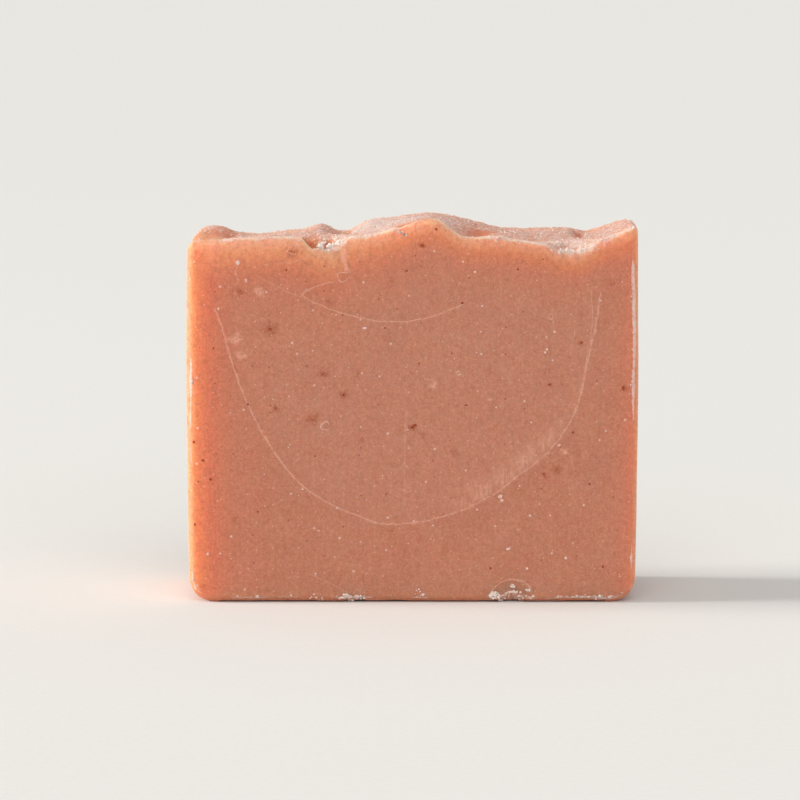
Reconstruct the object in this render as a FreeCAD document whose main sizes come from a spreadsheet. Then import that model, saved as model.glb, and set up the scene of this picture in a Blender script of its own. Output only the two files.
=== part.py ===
import FreeCAD, Part

import math
import os

import Sketcher

# One bar of handmade soap, standing on the foot that the loaf mould gave it.
# The loaf was poured into a mould with rounded lower corners, its wet top was worked with a spoon,
# and the set loaf was sliced across. X runs across the loaf, Y through the slice and Z up.
# The front cut face looks towards -Y, and the origin is in the middle of the foot. Sizes are in millimetres.

SLICE_SIZES = (
    ("bar_width", 80.0, "inside width of the mould, at its widest"),
    ("shoulder_height", 64.9, "fill height of the mould, away from every spoon mark"),
    ("slice_thickness", 25.0, "distance between the two cuts"),
    ("foot_radius", 4.6, "radius of the mould's lower corners"),
    ("wall_bow", 0.3, "how far the mould's soft walls stand out at half height"),
    ("edge_bevel", 1.1, "width of the bevel planed round both cut faces"),
)

# Each spoon mark is a smooth mound in the wet top, or a hollow where its rise is negative:
# name, wall that it is measured from, rise, distance from there, place through the slice, breadth, depth.
SPOON_MARKS = (
    ("crest", "middle", 2.9, 3.8, 3.9, 10.0, 40.0),
    ("crest_west", "middle", 1.1, -1.2, -12.2, 1.9, 7.6),
    ("crest_east", "middle", 2.6, 4.2, -12.4, 2.0, 7.5),
    ("west_slope", "middle", 1.1, -8.1, 6.9, 3.2, 12.5),
    ("fold", "middle", -2.7, -12.4, 6.9, 2.1, 8.7),
    ("west_ridge", "middle", 1.5, -16.0, 8.8, 2.1, 8.0),
    ("west_hollow", "left", -1.2, 10.5, 8.6, 8.0, 9.9),
    ("west_lip", "left", 0.5, 16.1, -13.2, 10.7, 4.1),
    ("left_dish", "left", -1.2, 6.1, -5.3, 3.4, 4.9),
    ("left_mound", "left", 1.9, 4.3, 7.5, 2.6, 2.7),
    ("east_dish", "middle", -3.3, 8.7, -5.4, 4.1, 7.6),
    ("east_hollow", "middle", -0.6, 16.3, 8.6, 7.3, 8.0),
    ("lip_sag", "right", -0.8, 15.0, -11.5, 7.0, 8.7),
    ("east_saddle", "right", -1.4, 8.2, 7.0, 1.2, 9.4),
    ("right_horn", "right", 2.9, -0.3, -5.3, 4.4, 23.4),
)

# Each chip is a shallow scoop knocked out of an edge of the front cut face by a rounded blow:
# name, edge, place across the bar from its middle, half width, half height and half depth of the blow.
EDGE_CHIPS = (
    ("lip_notch", "lip", -15.1, 5.0, 4.4, 6.4),
    ("lip_scoop", "lip", 27.9, 5.8, 3.4, 7.4),
    ("foot_chip", "foot", 17.6, 4.8, 5.8, 4.4),
    ("foot_nick", "foot", -10.2, 3.6, 3.0, 3.6),
)

# A blow's middle lies off the bar, by these shares of its half height and half depth, so that only its flank bites.
BLOW_OFF_EDGE = 0.5
BLOW_OFF_FACE = 0.4

# The worked top is carried by rows of poles. Both run past the bar on every side.
ROW_SPACES = 6
POLE_SPACES = 30
SPLINE_DEGREE = 3

WALL_PLACES = {
    "left": "sizes.{0}_across - sizes.bar_width / 2",
    "middle": "sizes.{0}_across",
    "right": "sizes.bar_width / 2 - sizes.{0}_across",
}

# Expressions that several features share.
FRONT_CUT = "-sizes.slice_thickness / 2"
BOW_RADIUS = "((sizes.shoulder_height / 2) ^ 2 + sizes.wall_bow ^ 2) / (2 * sizes.wall_bow)"
MOUNDS_TOGETHER = " + ".join(f"sizes.{name}_rise" for name, _, rise, *_ in SPOON_MARKS if rise > 0)
STOCK_TOP = f"sizes.shoulder_height + {MOUNDS_TOGETHER}"
WASTE_TOP = f"{STOCK_TOP} + {MOUNDS_TOGETHER}"


def fill_sheet(doc):
    """Writes every driving size into the spreadsheet, with its alias and a note, and returns them by alias."""
    entries = list(SLICE_SIZES)
    for name, wall, rise, across, through, breadth, depth in SPOON_MARKS:
        entries += [
            (f"{name}_rise", rise, "height of this spoon mark"),
            (f"{name}_across", across, f"its distance from the {wall} of the bar"),
            (f"{name}_through", through, "its place through the slice, from the middle"),
            (f"{name}_breadth", breadth, "its half width across the bar"),
            (f"{name}_depth", depth, "its half width through the slice"),
        ]
    for name, edge, across, half_width, half_height, half_depth in EDGE_CHIPS:
        entries += [
            (f"{name}_across", across, f"place of this chip along the {edge}"),
            (f"{name}_half_width", half_width, "half width of the blow"),
            (f"{name}_half_height", half_height, "its half height"),
            (f"{name}_half_depth", half_depth, "its half depth"),
        ]
    sheet = doc.addObject("Spreadsheet::Sheet", "sizes")
    for row, (alias, value, note) in enumerate(entries, start=1):
        sheet.set(f"A{row}", alias)
        sheet.set(f"B{row}", str(value))
        sheet.set(f"C{row}", note)
        sheet.setAlias(f"B{row}", alias)
    doc.recompute()
    return {alias: value for alias, value, _ in entries}


def origin_plane(body, role):
    """The body's own origin plane of that role."""
    return next(o for o in body.Origin.OriginFeatures if o.Role == role)


def upright_sketch(body, name):
    """A sketch whose x runs across the bar and whose y runs up. Its own z points out of the front cut face."""
    sketch = body.newObject("Sketcher::SketchObject", name)
    sketch.AttachmentSupport = [(origin_plane(body, "XZ_Plane"), "")]
    sketch.MapMode = "FlatFace"
    return sketch


def bind(sketch, constraints, expressions):
    """Adds constraints together. Each follows the expression at its own place in the list."""
    for index, expression in zip(sketch.addConstraint(constraints), expressions):
        sketch.setExpression(f"Constraints[{index}]", expression)


def mould_section(body, size):
    """The inside of the mould: a flat floor, two rounded corners and two slightly bowed walls, filled over the brim."""
    sketch = upright_sketch(body, "mould_section")
    vector, constraint = FreeCAD.Vector, Sketcher.Constraint
    half, radius, middle = size["bar_width"] / 2, size["foot_radius"], size["shoulder_height"] / 2
    bow_radius = (middle**2 + size["wall_bow"] ** 2) / (2 * size["wall_bow"])
    top = size["shoulder_height"] + sum(rise for _, _, rise, *_ in SPOON_MARKS if rise > 0)
    wall_centre = half - bow_radius
    foot_centre = wall_centre + math.sqrt((bow_radius - radius) ** 2 - (middle - radius) ** 2)
    low = -math.asin((middle - radius) / (bow_radius - radius))
    high = math.asin((top - middle) / bow_radius)
    brim = wall_centre + bow_radius * math.cos(high)

    def line(start_x, end_x, height):
        return sketch.addGeometry(Part.LineSegment(vector(start_x, height, 0), vector(end_x, height, 0)))

    def arc(centre_x, centre_y, arc_radius, start, end):
        circle = Part.Circle(vector(centre_x, centre_y, 0), vector(0, 0, 1), arc_radius)
        return sketch.addGeometry(Part.ArcOfCircle(circle, start, end))

    floor = line(-foot_centre, foot_centre, 0)
    right_foot = arc(foot_centre, radius, radius, -math.pi / 2, low)
    right_wall = arc(wall_centre, middle, bow_radius, low, high)
    stock_top = line(brim, -brim, top)
    left_wall = arc(-wall_centre, middle, bow_radius, math.pi - high, math.pi - low)
    left_foot = arc(-foot_centre, radius, radius, math.pi - low, 1.5 * math.pi)
    start, end, centre, x_axis, y_axis, origin = 1, 2, 3, -1, -2, -1
    sketch.addConstraint(
        [
            constraint("Tangent", floor, end, right_foot, start),
            constraint("Tangent", right_foot, end, right_wall, start),
            constraint("Coincident", right_wall, end, stock_top, start),
            constraint("Coincident", stock_top, end, left_wall, start),
            constraint("Tangent", left_wall, end, left_foot, start),
            constraint("Tangent", left_foot, end, floor, start),
            constraint("PointOnObject", floor, start, x_axis),
            constraint("Horizontal", floor),
            constraint("Horizontal", stock_top),
            constraint("Equal", right_foot, left_foot),
            constraint("Equal", right_wall, left_wall),
            constraint("Symmetric", right_wall, centre, left_wall, centre, y_axis),
        ]
    )
    bind(
        sketch,
        [
            constraint("Radius", right_foot, radius),
            constraint("Radius", right_wall, bow_radius),
            constraint("DistanceX", right_wall, centre, origin, start, -wall_centre),
            constraint("DistanceY", origin, start, right_wall, centre, middle),
            constraint("DistanceY", origin, start, stock_top, start, top),
        ],
        [
            "sizes.foot_radius",
            BOW_RADIUS,
            f"{BOW_RADIUS} - sizes.bar_width / 2",
            "sizes.shoulder_height / 2",
            STOCK_TOP,
        ],
    )
    return sketch


def mark_centre(name, wall):
    """Where a spoon mark lies across the bar, as an expression."""
    return WALL_PLACES[wall].format(name)


def top_height(across, through):
    """The worked top's height at a place across and through the bar, as an expression: the fill and every mark."""
    terms = ["sizes.shoulder_height"]
    for name, wall, *_ in SPOON_MARKS:
        breadth_share = f"(({across} - ({mark_centre(name, wall)})) / sizes.{name}_breadth) ^ 2"
        depth_share = f"(({through} - sizes.{name}_through) / sizes.{name}_depth) ^ 2"
        terms.append(f"sizes.{name}_rise * exp(-({breadth_share}) - {depth_share})")
    return " + ".join(terms)


def top_height_value(size, across, through):
    """The same height as a number, where the sketch is first drawn."""
    height = size["shoulder_height"]
    half = size["bar_width"] / 2
    for name, wall, rise, from_wall, mark_through, breadth, depth in SPOON_MARKS:
        centre = {"left": from_wall - half, "middle": from_wall, "right": half - from_wall}[wall]
        height += rise * math.exp(-(((across - centre) / breadth) ** 2) - ((through - mark_through) / depth) ** 2)
    return height


def top_row(body, size, row):
    """One row of the worked top: a spline along the top of the bar, closed over it round the waste to be cut away."""
    vector, constraint = FreeCAD.Vector, Sketcher.Constraint
    sketch = upright_sketch(body, f"top_row_{row}")
    through_share = (row - (ROW_SPACES + 2) / 2) / ROW_SPACES
    through = f"(sizes.slice_thickness * {through_share})"
    sketch.setExpression("AttachmentOffset.Base.z", f"-{through}")
    shares = [(i - 1 - POLE_SPACES / 2) / POLE_SPACES for i in range(POLE_SPACES + 3)]
    poles = []
    for share in shares:
        across = size["bar_width"] * share
        poles.append(vector(across, top_height_value(size, across, size["slice_thickness"] * through_share), 0))
    curve = Part.BSplineCurve()
    curve.buildFromPoles(poles, False, SPLINE_DEGREE)
    spline = sketch.addGeometry(curve)
    sketch.exposeInternalGeometry(spline)
    start, end, centre, origin = 1, 2, 3, -1
    across = [f"(sizes.bar_width * {share})" for share in shares]
    places = [constraint("DistanceX", origin, start, i, centre, pole.x) for i, pole in enumerate(poles, 1)]
    heights = [constraint("DistanceY", origin, start, i, centre, pole.y) for i, pole in enumerate(poles, 1)]
    bind(sketch, places, across)
    bind(sketch, heights, [top_height(place, through) for place in across])
    top = size["shoulder_height"] + 2 * sum(rise for _, _, rise, *_ in SPOON_MARKS if rise > 0)
    left_corner, right_corner = vector(poles[0].x, top, 0), vector(poles[-1].x, top, 0)
    right_side = sketch.addGeometry(Part.LineSegment(poles[-1], right_corner))
    lid = sketch.addGeometry(Part.LineSegment(right_corner, left_corner))
    left_side = sketch.addGeometry(Part.LineSegment(left_corner, poles[0]))
    sketch.addConstraint(
        [
            constraint("Coincident", spline, end, right_side, start),
            constraint("Coincident", right_side, end, lid, start),
            constraint("Coincident", lid, end, left_side, start),
            constraint("Coincident", left_side, end, spline, start),
            constraint("Vertical", right_side),
            constraint("Horizontal", lid),
            constraint("Vertical", left_side),
        ]
    )
    bind(sketch, [constraint("DistanceY", origin, start, lid, start, top)], [WASTE_TOP])
    return sketch


def slice_block(body, size):
    """The slice as it leaves the cutter, before the top is shaped: the mould's section between two cuts, bevelled."""
    cut_slice = body.newObject("PartDesign::Pad", "cut_slice")
    cut_slice.Profile = mould_section(body, size)
    cut_slice.Midplane = True
    cut_slice.setExpression("Length", "sizes.slice_thickness")
    body.Document.recompute()
    bevel = body.newObject("PartDesign::Chamfer", "planed_bevel")
    bevel.Base = (cut_slice, cut_faces(cut_slice.Shape))
    bevel.setExpression("Size", "sizes.edge_bevel")
    return bevel


def cut_faces(shape):
    """The names of the two flat faces that the cutter left, which look along Y."""
    names = []
    for number, face in enumerate(shape.Faces, start=1):
        flat = isinstance(face.Surface, Part.Plane)
        if flat and abs(face.Surface.Axis.y) > 0.999:
            names.append(f"Face{number}")
    return names


def worked_top(body, size):
    """Cuts the waste away above the rows, so that the spoon-worked top is left."""
    rows = [top_row(body, size, row) for row in range(ROW_SPACES + 3)]
    top = body.newObject("PartDesign::SubtractiveLoft", "spoon_worked_top")
    top.Profile = rows[0]
    top.Sections = rows[1:]
    return top


def edge_chip(body, name, edge):
    """One scoop out of the front cut face's lip or foot."""
    chip = body.newObject("PartDesign::SubtractiveEllipsoid", name)
    chip.AttachmentSupport = [(origin_plane(body, "XY_Plane"), "")]
    chip.MapMode = "FlatFace"
    off_edge = f"{BLOW_OFF_EDGE} * sizes.{name}_half_height"
    if edge == "lip":
        height = f"{top_height(f'sizes.{name}_across', f'({FRONT_CUT})')} + {off_edge}"
    else:
        height = f"-{off_edge}"
    chip.setExpression("AttachmentOffset.Base.x", f"sizes.{name}_across")
    chip.setExpression("AttachmentOffset.Base.y", f"{FRONT_CUT} - {BLOW_OFF_FACE} * sizes.{name}_half_depth")
    chip.setExpression("AttachmentOffset.Base.z", height)
    chip.setExpression("Radius1", f"sizes.{name}_half_height")
    chip.setExpression("Radius2", f"sizes.{name}_half_width")
    chip.setExpression("Radius3", f"sizes.{name}_half_depth")


def soap_bar(doc, size):
    """The whole bar, one cast piece."""
    body = doc.addObject("PartDesign::Body", "soap_bar")
    body.Label = "soap_bar"
    slice_block(body, size)
    worked_top(body, size)
    for name, edge, *_ in EDGE_CHIPS:
        edge_chip(body, name, edge)
    doc.recompute()
    return body


def check(doc, body):
    """Stops the build if any object failed or the bar isn't one sound solid."""
    failed = [o.Label for o in doc.Objects if {"Invalid", "Error"} & set(o.State)]
    if failed:
        raise RuntimeError(f"these objects failed: {failed}")
    shape = body.Shape
    if shape.isNull() or not shape.isValid() or len(shape.Solids) != 1:
        raise RuntimeError(f"{body.Label} isn't one valid solid")


def main():
    doc = FreeCAD.newDocument("handmade_soap_bar")
    size = fill_sheet(doc)
    body = soap_bar(doc, size)
    check(doc, body)
    os.makedirs("parts", exist_ok=True)
    body.Shape.exportStep(f"parts/{body.Label}.step")
    box = body.Shape.BoundBox
    print(f"{body.Label}: {box.XLength:.2f} x {box.YLength:.2f} x {box.ZLength:.2f} mm")
    print(f"volume {body.Shape.Volume / 1000:.2f} cm3, {len(body.Shape.Faces)} faces")


main()
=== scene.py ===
import itertools
import math
from functools import partial
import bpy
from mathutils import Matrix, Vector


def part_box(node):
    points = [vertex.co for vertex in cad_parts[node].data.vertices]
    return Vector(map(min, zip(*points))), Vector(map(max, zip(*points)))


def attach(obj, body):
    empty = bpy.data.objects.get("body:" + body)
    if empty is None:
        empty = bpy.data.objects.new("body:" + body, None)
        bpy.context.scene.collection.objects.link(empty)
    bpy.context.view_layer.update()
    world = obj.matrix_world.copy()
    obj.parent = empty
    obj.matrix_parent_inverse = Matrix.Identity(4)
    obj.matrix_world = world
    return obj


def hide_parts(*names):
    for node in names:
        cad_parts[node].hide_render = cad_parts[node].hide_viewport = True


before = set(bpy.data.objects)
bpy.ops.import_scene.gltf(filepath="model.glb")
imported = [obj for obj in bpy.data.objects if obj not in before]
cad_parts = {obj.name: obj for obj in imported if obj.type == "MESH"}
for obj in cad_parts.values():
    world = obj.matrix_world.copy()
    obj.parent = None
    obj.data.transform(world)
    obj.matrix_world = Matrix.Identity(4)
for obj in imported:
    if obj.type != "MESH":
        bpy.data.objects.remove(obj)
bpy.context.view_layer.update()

from types import SimpleNamespace

import bpy
import numpy as np
from bpy.props import FloatProperty, FloatVectorProperty, IntProperty, PointerProperty
from mathutils import Vector
from mathutils.bvhtree import BVHTree

bl_info = {
    "name": "Handmade Soap Bar",
    "version": (1, 0, 0),
    "blender": (4, 5, 0),
    "location": "View3D > Sidebar > Soap",
    "description": "Casts, cuts and dusts a loaf-cut bar of handmade soap round its solid",
    "category": "Add Mesh",
}

MM = 0.001
LOW, HIGH = (np.array(corner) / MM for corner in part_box("soap_bar"))

# The bar's own lengths in millimetres, as its solid has them.
FRONT, BACK, WALL = LOW[1], HIGH[1], HIGH[0]
FOOT_RADIUS, WALL_BOW, BEVEL, MID_HEIGHT = 4.6, 0.3, 1.1, 32.45

# Places on the front cut face, across and up, in millimetres from the middle of the foot. Each line
# left by the pour or the cutter: how strongly it shows, its half width and the points that it runs
# through.
FACE_LINES = {
    "great_arc": (0.9, 0.13, (
        (-34.7, 52.6), (-33.7, 50.1), (-31.8, 42.8), (-29.0, 35.4), (-26.2, 29.9), (-22.9, 24.8),
        (-19.1, 20.6), (-15.2, 18.1), (-11.9, 16.4), (-9.7, 15.9), (-7.5, 14.6), (-4.2, 14.1),
        (1.4, 14.5), (6.9, 15.9), (11.3, 17.8), (15.7, 20.3), (18.5, 22.8), (22.9, 25.9), (25.7, 29.1),
        (28.4, 33.3), (30.1, 38.3), (30.9, 44.0), (32.3, 49.6), (33.1, 55.8),
    )),
    "arc_double": (0.5, 0.07, ((31.3, 56.0), (31.9, 51.0), (31.0, 46.0), (30.1, 40.5), (29.2, 36.0))),
    "small_arc": (0.9, 0.09, (
        (-13.6, 57.4), (-15.8, 56.9), (-18.0, 56.1), (-19.9, 54.9), (-16.3, 53.2), (-13.0, 52.0),
        (-9.7, 51.1), (-5.3, 50.3), (-1.9, 50.3), (1.4, 50.7), (4.7, 51.6), (6.9, 52.6), (9.1, 53.3),
    )),
    "faint_tail": (0.4, 0.08, ((-19.9, 54.6), (-23.5, 56.4), (-27.5, 58.4))),
    "crease": (1.5, 0.34, ((-11.6, 64.2), (-11.9, 61.9), (-11.5, 60.1), (-10.9, 58.9))),
    "scratch": (0.45, 0.06, ((-1.1, 36.7), (-1.3, 28.0), (-1.5, 19.6))),
    "comma": (0.7, 0.11, ((-30.8, 60.0), (-31.2, 58.9), (-30.8, 58.0), (-30.2, 57.4))),
    "lip_thread": (0.4, 0.07, ((-27.0, 60.3), (-22.5, 60.6), (-19.5, 61.0), (-17.6, 62.4))),
    "right_scratch": (0.35, 0.05, ((28.9, 54.4), (28.6, 49.0), (28.0, 43.6))),
    "short_scratch": (0.5, 0.06, ((28.0, 26.2), (28.7, 23.8))),
    "flake_rim": (0.9, 0.12, (
        (13.3, 0.9), (14.7, 3.0), (16.1, 3.9), (18.1, 4.3), (20.2, 3.7), (21.1, 2.5), (21.3, 1.4),
    )),
    "foot_scratch": (0.35, 0.06, ((-18.6, 5.4), (-14.5, 3.4), (-10.8, 1.4))),
}
# Grains of spice and clay: across, up, half width, half height and the reach of its stain, in millimetres.
SPICE_GRAINS = (
    (0.0, 31.5, 0.44, 0.32, 1.0), (0.5, 31.9, 0.36, 0.26, 0), (-12.1, 37.3, 0.24, 0.26, 1.3),
    (-25.0, 49.0, 0.36, 0.28, 1.9), (-15.8, 41.0, 0.20, 0.20, 1.4), (-24.1, 34.9, 0.22, 0.28, 1.0),
    (-29.0, 35.6, 0.22, 0.20, 0), (24.2, 39.1, 0.32, 0.22, 0.7), (25.7, 24.0, 0.16, 0.16, 1.5),
    (23.3, 23.2, 0.16, 0.16, 1.0), (28.4, 30.6, 0.30, 0.24, 0), (13.9, 6.2, 0.24, 0.24, 0),
    (33.9, 6.5, 0.24, 0.24, 0), (1.2, 42.9, 0.20, 0.18, 0), (9.5, 35.5, 0.34, 0.16, 0),
    (1.7, 63.7, 0.42, 0.36, 0.8), (4.2, 66.6, 0.24, 0.20, 0), (-22.1, 59.4, 0.22, 0.20, 0),
    (8.8, 53.6, 0.26, 0.22, 0), (-4.8, 49.2, 0.20, 0.18, 0), (-38.6, 28.9, 0.26, 0.30, 0),
    (-37.0, 25.6, 0.28, 0.26, 0), (-35.7, 22.2, 0.30, 0.28, 0), (-38.5, 14.1, 0.20, 0.24, 0),
    (-17.2, 26.4, 0.18, 0.16, 0), (-4.6, 19.6, 0.18, 0.18, 0), (-27.4, 16.4, 0.20, 0.16, 0),
    (37.2, 38.5, 0.30, 0.50, 0.9), (18.5, 59.6, 0.24, 0.26, 0), (-1.0, 59.3, 0.22, 0.20, 0),
    (14.2, 56.7, 0.20, 0.24, 0), (31.4, 21.4, 0.22, 0.20, 0), (-35.0, 45.6, 0.20, 0.18, 0),
    (-17.7, 32.9, 0.16, 0.16, 1.8), (29.8, 46.6, 0.20, 0.22, 0.8), (-30.2, 55.7, 0.16, 0.16, 1.2),
    (-21.2, 62.7, 0.12, 0.12, 1.3),
)
# Grains of soda ash that stand out from the fine ones: across, up, half width, half height.
ASH_GRAINS = (
    (15.6, 19.1, 0.50, 0.42), (15.9, 18.4, 0.34, 0.30), (26.0, 28.3, 0.36, 0.22),
    (27.3, 8.1, 0.28, 0.28), (17.0, 9.7, 0.40, 0.26), (11.5, 16.8, 0.24, 0.24), (0.3, 14.7, 0.24, 0.20),
    (-30.6, 60.7, 0.44, 0.40), (-29.2, 57.6, 0.26, 0.34), (-8.4, 49.2, 0.40, 0.24),
    (23.4, 44.9, 0.30, 0.30), (23.7, 45.4, 0.20, 0.20), (23.6, 47.6, 0.20, 0.22),
    (20.4, 6.2, 0.26, 0.24), (14.7, 13.8, 0.22, 0.20), (19.0, 21.0, 0.20, 0.22),
    (9.5, 23.8, 0.22, 0.20), (2.4, 21.8, 0.20, 0.20), (-19.4, 20.5, 0.22, 0.22),
    (-13.3, 17.1, 0.30, 0.22), (-16.6, 13.0, 0.20, 0.20), (-32.1, 11.9, 0.24, 0.24),
    (-36.3, 8.8, 0.24, 0.26), (-10.4, 5.7, 0.34, 0.22), (11.0, 59.1, 0.26, 0.26),
    (8.9, 60.9, 0.20, 0.22), (-5.8, 40.6, 0.20, 0.20), (-20.3, 44.6, 0.22, 0.22),
    (-3.8, 46.4, 0.22, 0.20), (30.4, 17.6, 0.20, 0.18), (14.8, 35.1, 0.20, 0.18),
    (21.0, 32.4, 0.18, 0.18), (-34.1, 52.6, 0.22, 0.22), (19.8, 36.2, 0.20, 0.22),
    (22.6, 17.8, 0.18, 0.18), (34.2, 30.9, 0.20, 0.20),
)
# Soft pale smudges that the wire rubbed on: across, up, reach.
SMUDGES = (
    (-31.2, 47.4, 1.7), (-30.2, 44.2, 1.1), (3.7, 39.2, 1.0), (13.5, 36.6, 0.6), (-26.8, 55.6, 1.0),
    (26.9, 27.2, 0.8),
)
# Rims of small burst bubbles: across, up, radius.
BUBBLE_RIMS = (
    (-12.2, 58.3, 1.0), (-15.4, 31.7, 0.75), (-21.1, 62.9, 0.8), (24.2, 51.3, 0.42), (8.1, 41.2, 0.34),
)
# Where the front bevel's ridge is furred with burr: side of the bar, place along it, half length,
# strength.
BURRS = (
    ("right", 51.0, 9.5, 1.3), ("right", 39.0, 6.0, 1.1), ("right", 58.5, 2.6, 1.2),
    ("right", 8.0, 1.8, 0.9), ("left", 39.8, 3.8, 1.05), ("left", 33.0, 1.7, 0.9),
    ("left", 27.0, 1.2, 0.6), ("left", 4.0, 2.5, 0.6), ("foot", -10.5, 3.4, 1.0),
    ("foot", 1.4, 1.8, 0.6), ("foot", 18.0, 4.4, 0.8), ("foot", 32.5, 5.0, 1.1),
    ("foot", -29.0, 4.0, 0.6), ("foot", -22.0, 3.0, 0.4), ("foot", 26.0, 3.0, 0.6),
)
# Torn ground inside the chips: across, in from the front cut, up, reach, how white.
TORN = (
    (-15.1, 0.6, 64.6, 3.8, 0.8), (27.9, 0.8, 63.9, 4.4, 0.9), (17.6, 0.0, 0.9, 3.8, 0.05),
    (-10.2, 0.0, 0.4, 2.6, 0.6),
)
# Shallow shell-shaped flakes broken from the front face: across, up, half width, half height, how deep.
FLAKES = ((17.3, 0.3, 3.9, 4.0, 0.42), (-21.6, 63.1, 1.3, 1.1, 0.12))
# Small deep pits that the spoon left: across, through, half width, half depth along the slice, how deep.
PITS = (
    (-17.8, -11.3, 1.1, 1.3, 1.5), (-14.6, -10.4, 0.7, 1.0, 1.2), (-32.3, 1.0, 1.3, 4.0, 0.5),
    (12.6, -1.0, 1.9, 3.4, 0.7), (30.0, 1.4, 1.0, 4.0, 0.9), (-11.2, 1.5, 0.7, 6.5, 0.6),
    (-1.6, -11.9, 0.9, 0.7, 0.5),
)
# Hollows of the top that no ash lies in, painted dark and deep orange as the shade and glow in them: across,
# through, half width, half depth, how dark.
SHADED_HOLLOWS = (
    (-17.8, -11.8, 1.5, 2.2, 1.3), (-14.6, -10.4, 0.8, 0.9, 1.0), (-32.6, 2.6, 0.9, 4.5, 0.6),
    (-35.4, 3.6, 3.0, 0.8, 0.3), (12.6, -0.4, 2.4, 2.2, 0.85), (9.5, -8.0, 1.6, 2.2, 0.4),
    (30.0, 0.8, 0.8, 5.5, 0.85), (-11.6, 4.0, 0.5, 7.5, 0.6), (-18.5, -8.2, 3.4, 1.0, 0.45),
    (-1.6, -11.4, 1.4, 0.8, 0.5),
)
# Clumps of crumbs: across, in from the front cut, up, reach, how many, half width of a crumb.
CLUMPS = (
    (-15.5, 0.8, 64.3, 0.9, 56, 0.29), (-13.2, 0.7, 64.4, 0.9, 30, 0.25), (-16.3, 0.4, 64.2, 0.5, 12, 0.20),
    (-14.2, 3.0, 65.0, 1.2, 10, 0.22), (27.0, 0.6, 63.3, 1.3, 26, 0.20), (29.3, 0.5, 63.0, 1.1, 18, 0.18),
    (30.4, 1.6, 64.0, 1.0, 10, 0.22), (26.0, 2.2, 64.6, 1.2, 10, 0.20), (-2.1, 0.1, 66.2, 0.5, 12, 0.20),
    (-1.3, 0.1, 65.7, 0.4, 8, 0.16), (14.6, 0.3, 1.3, 0.9, 34, 0.27), (17.8, 0.3, 3.0, 0.45, 12, 0.22),
    (20.6, 0.2, 2.3, 0.35, 8, 0.18), (18.9, 0.3, 1.0, 0.45, 10, 0.18), (-12.0, 0.2, 1.0, 0.9, 16, 0.20),
    (-9.0, 0.2, 0.9, 1.0, 16, 0.20), (-17.0, 0.1, 0.6, 1.6, 12, 0.14), (1.2, 0.1, 1.9, 1.1, 10, 0.15),
)
# How thick the ash lies on the worked top, over its mean: across, through the slice, half width, half
# depth, change.
ASH_DRIFTS = (
    (-6.5, 0.0, 4.6, 11.0, 0.55), (-36.0, -4.0, 4.0, 9.0, -0.75), (11.0, -4.0, 4.5, 6.0, -0.20),
    (-20.0, 4.0, 7.0, 7.0, 0.05), (2.0, -11.0, 5.0, 2.4, -0.45), (3.0, 2.0, 5.0, 6.0, 0.25),
    (27.5, -9.0, 3.4, 3.4, 0.30), (36.0, -4.0, 3.0, 8.0, 0.10),
)


# Short names of the nodes used most, and the setting of a smooth Map Range.
MATH, RANGE, NOISE = "ShaderNodeMath", "ShaderNodeMapRange", "ShaderNodeTexNoise"
MIX, VECTOR = "ShaderNodeMix", "ShaderNodeVectorMath"
SMOOTH = {"interpolation_type": "SMOOTHSTEP"}
FULL_TURN = {"Min": (0, 0, 0), "Max": (6.28, 6.28, 6.28)}
# How far stains and smudges are bent out of round, in millimetres: across, through and up.
WARP = (2.4, 0.0, 1.8)
SOAP_IOR = 1.47
# Numbers at the bar's points that its shader reads.
FIELDS = (
    "ash", "bloom", "blush_gap", "below_lip", "burr", "crest", "cut", "dry_gap", "foot", "glow",
    "hollow", "line_gap", "line_show", "lip_dry_gap", "lip_gap", "lip_white", "pool", "rim", "side",
    "smear", "up", "worn",
)
# The soap's patterns: the real size of each in millimetres, how many finer copies lie on it, and how
# rough they are.
PATTERNS = {
    "clouds": (9.0, 3.0, 0.5), "small_clouds": (2.5, 4.0, 0.6), "waver": (2.2, 3.0, 0.5),
    "grain": (0.35, 3.0, 0.7), "fleck": (0.8, 3.0, 0.65), "bleed": (0.5, 3.0, 0.7),
    "wander": (1.6, 4.0, 0.65), "breaks": (0.7, 4.0, 0.7), "ragged": (0.75, 5.0, 0.7),
    "gaps": (2.6, 3.0, 0.5), "swing": (9.0, 1.0, 0.5), "drift": (1.0, 6.0, 0.75),
    "grit": (0.22, 3.0, 0.75),
}


def linear(hex_colour):
    """An sRGB hex colour as linear red, green, blue and alpha."""
    channels = [int(hex_colour[i : i + 2], 16) / 255 for i in (1, 3, 5)]
    return tuple(c / 12.92 if c <= 0.04045 else ((c + 0.055) / 1.055) ** 2.4 for c in channels) + (1.0,)


def smooth_step(low, high, value):
    """0 below low, 1 above high, and a smooth slope between."""
    t = np.clip((value - low) / (high - low), 0, 1)
    return t * t * (3 - 2 * t)


def cell_hash(cells, seed):
    """A fixed number from 0 to 1 for each cell of a lattice."""
    x, y, z = (cells[..., i].astype(np.uint64) for i in range(3))
    mixed = x * np.uint64(73856093) ^ y * np.uint64(19349663) ^ z * np.uint64(83492791)
    mixed = (mixed + np.uint64(seed * 9176 + 13)) * np.uint64(0x9E3779B97F4A7C15)
    mixed ^= mixed >> np.uint64(29)
    mixed *= np.uint64(0xBF58476D1CE4E5B9)
    mixed ^= mixed >> np.uint64(32)
    return (mixed & np.uint64(0xFFFFFF)).astype(float) / 0xFFFFFF


def smooth_noise(points, cell, seed):
    """Noise from -1 to 1 whose swells are about one cell wide."""
    scaled = points / cell
    base = np.floor(scaled).astype(np.int64)
    part = scaled - base
    part = part**3 * (part * (part * 6 - 15) + 10)
    total = np.zeros(len(points))
    for corner in itertools.product((0, 1), repeat=3):
        share = np.prod(np.where(np.array(corner), part, 1 - part), axis=1)
        total += share * (cell_hash(base + np.array(corner), seed) * 2 - 1)
    return total


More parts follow.
